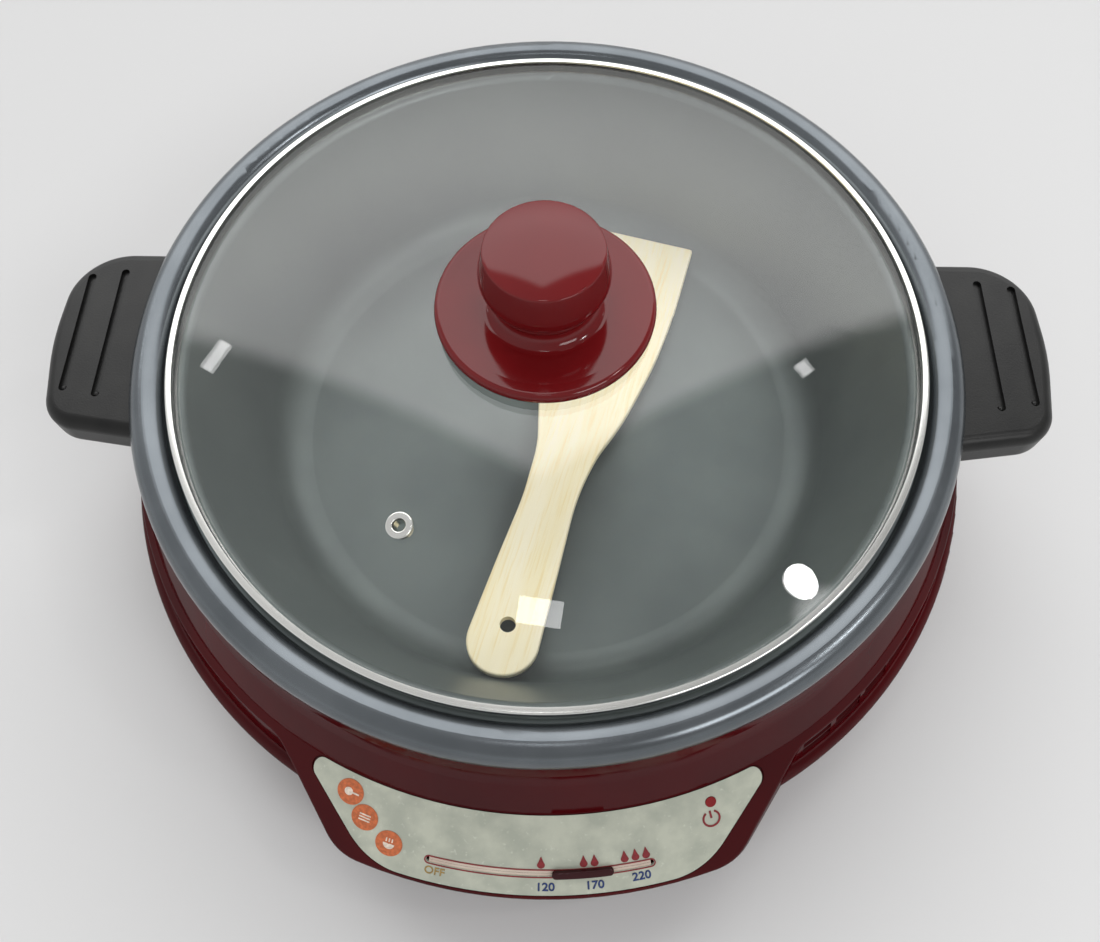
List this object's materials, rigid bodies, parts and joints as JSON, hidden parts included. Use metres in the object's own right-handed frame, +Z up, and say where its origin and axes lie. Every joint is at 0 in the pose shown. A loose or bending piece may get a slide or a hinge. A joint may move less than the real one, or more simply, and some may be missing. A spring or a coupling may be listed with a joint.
{
  "type": "electric hot pot with lid",
  "caption": "Electric hot pot: moulded housing with a slider control pod, cast heating plate, lift-out pan with side handles, domed glass lid and a wooden spatula inside.",
  "frame": {"origin": "pot axis at the plane of the feet, which is the middle of the bottom of the overall box", "axes": "+Z up along the pot axis, -Y towards the control pod at the front, +X to the right with the handles on the X axis"},
  "size_m": [0.4122, 0.4138, 0.18],
  "materials": {
    "housing_burgundy": "glossy moulded plastic",
    "knob_burgundy": "glossy moulded plastic",
    "black_plastic": "satin heat-resistant moulding",
    "rubber_black": "matt rubber",
    "steel_screws": "plated steel",
    "aluminised_steel": "bright aluminised sheet",
    "cast_aluminium": "die-cast, as cast",
    "element_sheath": "dull stainless sheath",
    "brass": "bright brass",
    "plain_steel": "zinc-plated steel",
    "ceramic": "steatite ceramic",
    "fuse_sleeve": "glass-fibre sleeve",
    "white_nylon": "nylon",
    "brown_lead": "insulated wire",
    "blue_lead": "insulated wire",
    "earth_lead": "insulated wire",
    "lamp": "neon lamp in a clear sleeve",
    "red_lens": "clear red plastic",
    "silver_panel": "pale silver, satin",
    "pan_coating": "grey non-stick coating, satin",
    "lid_glass": "clear tempered glass",
    "lid_steel": "polished stainless steel",
    "silicone": "dark grey silicone",
    "spatula_wood": "pale sanded wood"
  },
  "bodies": {
    "base": {"upper_housing": "housing_burgundy", "lower_housing": "housing_burgundy", "rubber_feet": "rubber_black", "housing_screws": "steel_screws", "heat_reflector": "aluminised_steel", "reflector_screws": "steel_screws", "heating_plate": "cast_aluminium", "heating_element": "element_sheath", "element_terminals": "brass", "plate_posts": "plain_steel", "plate_screws": "steel_screws", "thermostat": "ceramic", "thermostat_bracket": "plain_steel", "thermostat_screws": "steel_screws", "thermal_fuse": "fuse_sleeve", "fuse_clip": "plain_steel", "terminal_block": "white_nylon", "inlet_socket": "black_plastic", "inlet_pins": "brass", "inlet_screws": "steel_screws", "live_lead": "brown_lead", "neutral_lead": "blue_lead", "earth_lead": "earth_lead", "thermostat_lead": "brown_lead", "fuse_lead": "brown_lead", "element_lead": "brown_lead", "return_lead": "blue_lead", "lamp_lead": "blue_lead", "pilot_lamp": "lamp", "pilot_lens": "red_lens", "control_panel": "silver_panel", "lever_guide": "black_plastic", "guide_screws": "steel_screws"},
    "lever": {"thermostat_shaft": "plain_steel", "lever_arm": "plain_steel", "lever_clip": "plain_steel", "slider_knob": "housing_burgundy"},
    "pan": {"pan": "pan_coating", "handle_left": "black_plastic", "handle_right": "black_plastic", "handle_brackets": "plain_steel", "handle_screws": "steel_screws"},
    "lid": {"lid_glass": "lid_glass", "lid_band": "lid_steel", "lid_seal": "silicone", "vent_eyelet": "lid_steel", "vent_washer": "lid_steel", "knob_skirt": "knob_burgundy", "knob_head": "knob_burgundy", "knob_insert": "brass", "knob_screw": "steel_screws", "knob_gasket": "silicone", "knob_cup": "plain_steel"},
    "spatula": {"spatula": "spatula_wood"}
  },
  "joints": [
    {"name": "pan_lift", "type": "slide", "parent": "base", "child": "pan", "axis": [0, 0, 1], "range_m": [0, 0.15]},
    {"name": "lid_lift", "type": "slide", "parent": "pan", "child": "lid", "axis": [0, 0, 1], "range_m": [0, 0.15]},
    {"name": "spatula_lift", "type": "slide", "parent": "pan", "child": "spatula", "axis": [0, 0, 1], "range_m": [0, 0.05]},
    {"name": "temperature_lever", "type": "hinge", "parent": "base", "child": "lever", "pos_m": [0, 0, 0.012], "axis": [0, 0, 1], "range_deg": [-13.5, 4]}
  ]
}
